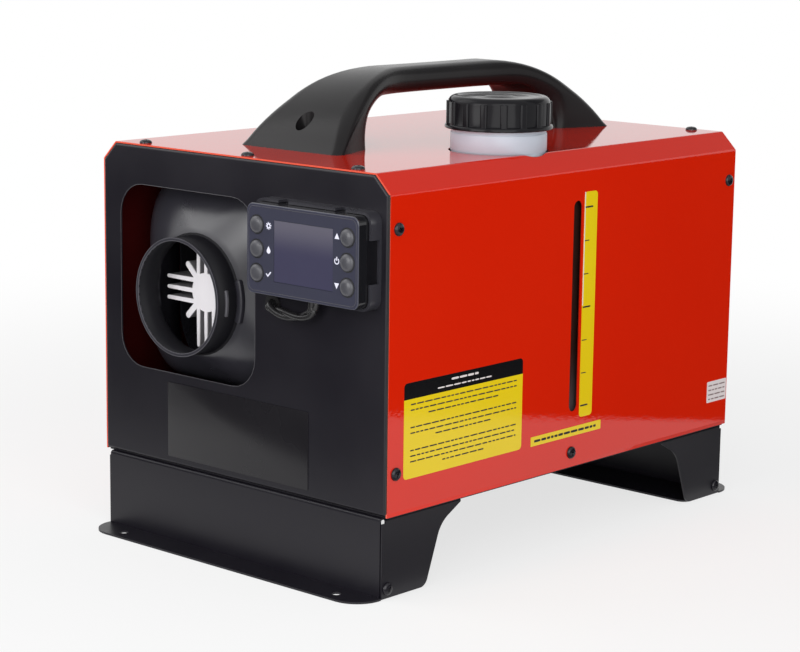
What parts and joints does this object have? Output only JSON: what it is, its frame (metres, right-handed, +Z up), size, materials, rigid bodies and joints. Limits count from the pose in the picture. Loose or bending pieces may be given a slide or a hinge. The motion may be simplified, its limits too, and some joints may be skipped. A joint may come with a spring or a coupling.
{
  "type": "indirect-fired diesel heater",
  "caption": "Portable boxed diesel air heater: folded sheet case on feet, carry handle, fuel tank with screw cap and sight slot, finned outlet spout and clip-on controller.",
  "frame": {"origin": "on the ground under the middle of the case", "axes": "+Z up, the front with the hot-air spout faces -Y, the fuel sight slot is on the +X side"},
  "size_m": [0.3052, 0.471, 0.363],
  "materials": {
    "red_paint": "gloss",
    "black_paint": "satin",
    "screw_black": "satin",
    "steel": "satin",
    "cast_aluminium": "satin",
    "handle_plastic": "matte",
    "hood_plastic": "satin",
    "black_plastic": "gloss",
    "tank_plastic": "satin",
    "rubber": "matte",
    "hose": "satin",
    "button_grey": "satin",
    "screen": "gloss",
    "circuit": "satin"
  },
  "bodies": {
    "heater": {"casing_wrap": "red_paint", "front_panel": "black_paint", "rear_panel": "black_paint", "floor_pan": "black_paint", "front_foot": "black_paint", "rear_foot": "black_paint", "front_foot_base": "black_paint", "rear_foot_base": "black_paint", "casing_screws": "screw_black", "foot_screws": "screw_black", "handle_screws": "screw_black", "bracket_screws": "screw_black", "floor_bolts": "steel", "handle_nuts": "steel", "tank_bracket": "steel", "filter_clip": "steel", "pump_clip": "steel", "burner_tube": "steel", "glow_plug": "steel", "overheat_sensor": "steel", "heater_bridge": "steel", "exhaust_stub": "steel", "air_stub": "steel", "heat_exchanger": "cast_aluminium", "blower_case": "cast_aluminium", "fuel_pump": "cast_aluminium", "blower_motor": "cast_aluminium", "power_supply": "cast_aluminium", "carry_handle": "handle_plastic", "outlet_hood": "hood_plastic", "intake_cover": "hood_plastic", "heater_upper_shell": "hood_plastic", "heater_lower_shell": "hood_plastic", "controller_bracket": "hood_plastic", "control_board": "hood_plastic", "controller_back": "black_plastic", "controller_face": "black_plastic", "mains_inlet": "black_plastic", "dc_socket": "black_plastic", "fuel_tank": "tank_plastic", "fuel_filter": "tank_plastic", "tank_pad": "rubber", "base_gasket": "rubber", "cable_grommet": "rubber", "controller_cable": "rubber", "tank_hose": "hose", "filter_hose": "hose", "pump_hose": "hose", "display_window": "screen", "controller_board": "circuit"},
    "cap_carrier": {"cap_seal": "rubber"},
    "cap": {"filler_cap": "black_plastic"},
    "rotor": {"main_fan": "hood_plastic", "combustion_impeller": "cast_aluminium"},
    "button_settings": {"button_settings": "button_grey"},
    "button_prime": {"button_prime": "button_grey"},
    "button_confirm": {"button_confirm": "button_grey"},
    "button_up": {"button_up": "button_grey"},
    "button_power": {"button_power": "button_grey"},
    "button_down": {"button_down": "button_grey"}
  },
  "joints": [
    {"name": "cap_lift", "type": "slide", "parent": "heater", "child": "cap_carrier", "axis": [0, 0, 1], "range_m": [0, 0.01]},
    {"name": "cap_turn", "type": "hinge", "parent": "cap_carrier", "child": "cap", "pos_m": [0.1, -0.035, 0.33], "axis": [0, 0, 1], "range_deg": [0, 720]},
    {"name": "rotor_spin", "type": "hinge", "parent": "heater", "child": "rotor", "pos_m": [-0.056, 0.13, 0.195], "axis": [0, 1, 0], "continuous": true},
    {"name": "press_settings", "type": "slide", "parent": "heater", "child": "button_settings", "axis": [0, 1, 0], "range_m": [0, 0.001], "stiffness_N_per_m": 600},
    {"name": "press_prime", "type": "slide", "parent": "heater", "child": "button_prime", "axis": [0, 1, 0], "range_m": [0, 0.001], "stiffness_N_per_m": 600},
    {"name": "press_confirm", "type": "slide", "parent": "heater", "child": "button_confirm", "axis": [0, 1, 0], "range_m": [0, 0.001], "stiffness_N_per_m": 600},
    {"name": "press_up", "type": "slide", "parent": "heater", "child": "button_up", "axis": [0, 1, 0], "range_m": [0, 0.001], "stiffness_N_per_m": 600},
    {"name": "press_power", "type": "slide", "parent": "heater", "child": "button_power", "axis": [0, 1, 0], "range_m": [0, 0.001], "stiffness_N_per_m": 600},
    {"name": "press_down", "type": "slide", "parent": "heater", "child": "button_down", "axis": [0, 1, 0], "range_m": [0, 0.001], "stiffness_N_per_m": 600}
  ],
  "couplings": [
    {"joint": "cap_turn", "follows": "cap_lift", "rad_per_m": 1256.6}
  ]
}
